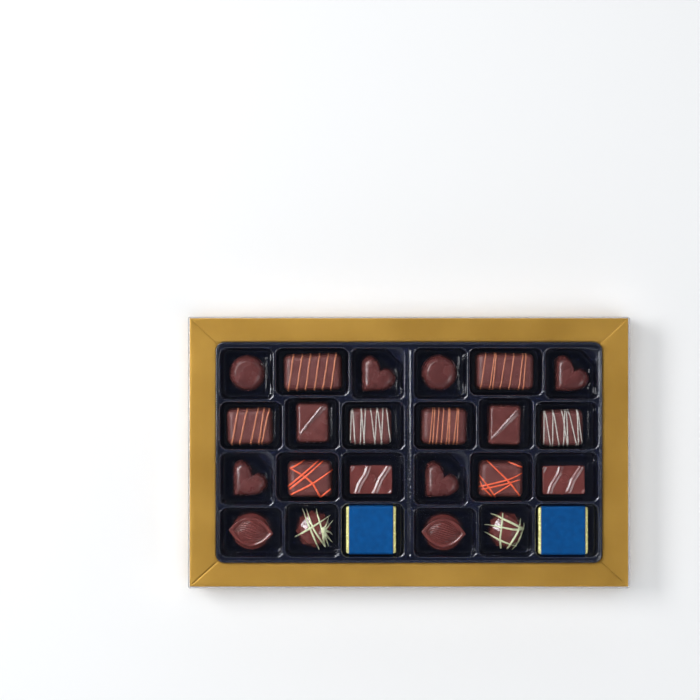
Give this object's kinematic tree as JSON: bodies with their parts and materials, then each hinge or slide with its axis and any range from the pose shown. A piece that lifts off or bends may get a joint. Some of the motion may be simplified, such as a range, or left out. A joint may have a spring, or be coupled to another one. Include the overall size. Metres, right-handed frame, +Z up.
{
  "type": "box of chocolate pralines",
  "caption": "Flat gift box of assorted chocolate pralines: gold card base with a mitred frame, dark moulded insert with a cell for each praline, and a clear lid.",
  "frame": {"origin": "middle of the underside of the card base, on the surface it stands on", "axes": "+X along the length of the box, +Y to its back, +Z up through the lid"},
  "size_m": [0.2956, 0.1816, 0.03],
  "materials": {
    "gold_card": "satin metallic gold laminate on card",
    "black_plastic": "glossy blue-black thermoformed sheet",
    "clear_plastic": "clear glossy film",
    "milk_chocolate": "satin milk chocolate coating",
    "dark_chocolate": "smooth glossy moulded chocolate",
    "gold_foil": "pale gold wrapping foil",
    "blue_paper": "smooth blue paper band"
  },
  "bodies": {
    "root": {"card_base": "gold_card", "clear_lid": "clear_plastic", "drizzled_left_row3_cell2": "milk_chocolate", "drizzled_right_row3_cell2": "milk_chocolate", "finger_left_row1_cell2": "milk_chocolate", "finger_right_row1_cell2": "milk_chocolate", "foil_square_left": "gold_foil", "foil_square_right": "gold_foil", "gem_left_row4_cell2": "dark_chocolate", "gem_right_row4_cell2": "dark_chocolate", "heart_left_row1_cell3": "dark_chocolate", "heart_left_row3_cell1": "dark_chocolate", "heart_right_row1_cell3": "dark_chocolate", "heart_right_row3_cell1": "dark_chocolate", "moulded_insert": "black_plastic", "paper_band_left": "blue_paper", "paper_band_right": "blue_paper", "pod_left_row4_cell1": "dark_chocolate", "pod_right_row4_cell1": "dark_chocolate", "ridged_left_row2_cell2": "dark_chocolate", "ridged_right_row2_cell2": "dark_chocolate", "round_left_row1_cell1": "dark_chocolate", "round_right_row1_cell1": "dark_chocolate", "striped_left_row2_cell1": "milk_chocolate", "striped_right_row2_cell1": "milk_chocolate", "wave_left_row3_cell3": "dark_chocolate", "wave_right_row3_cell3": "dark_chocolate", "zigzag_left_row2_cell3": "milk_chocolate", "zigzag_right_row2_cell3": "milk_chocolate"}
  },
  "joints": []
}
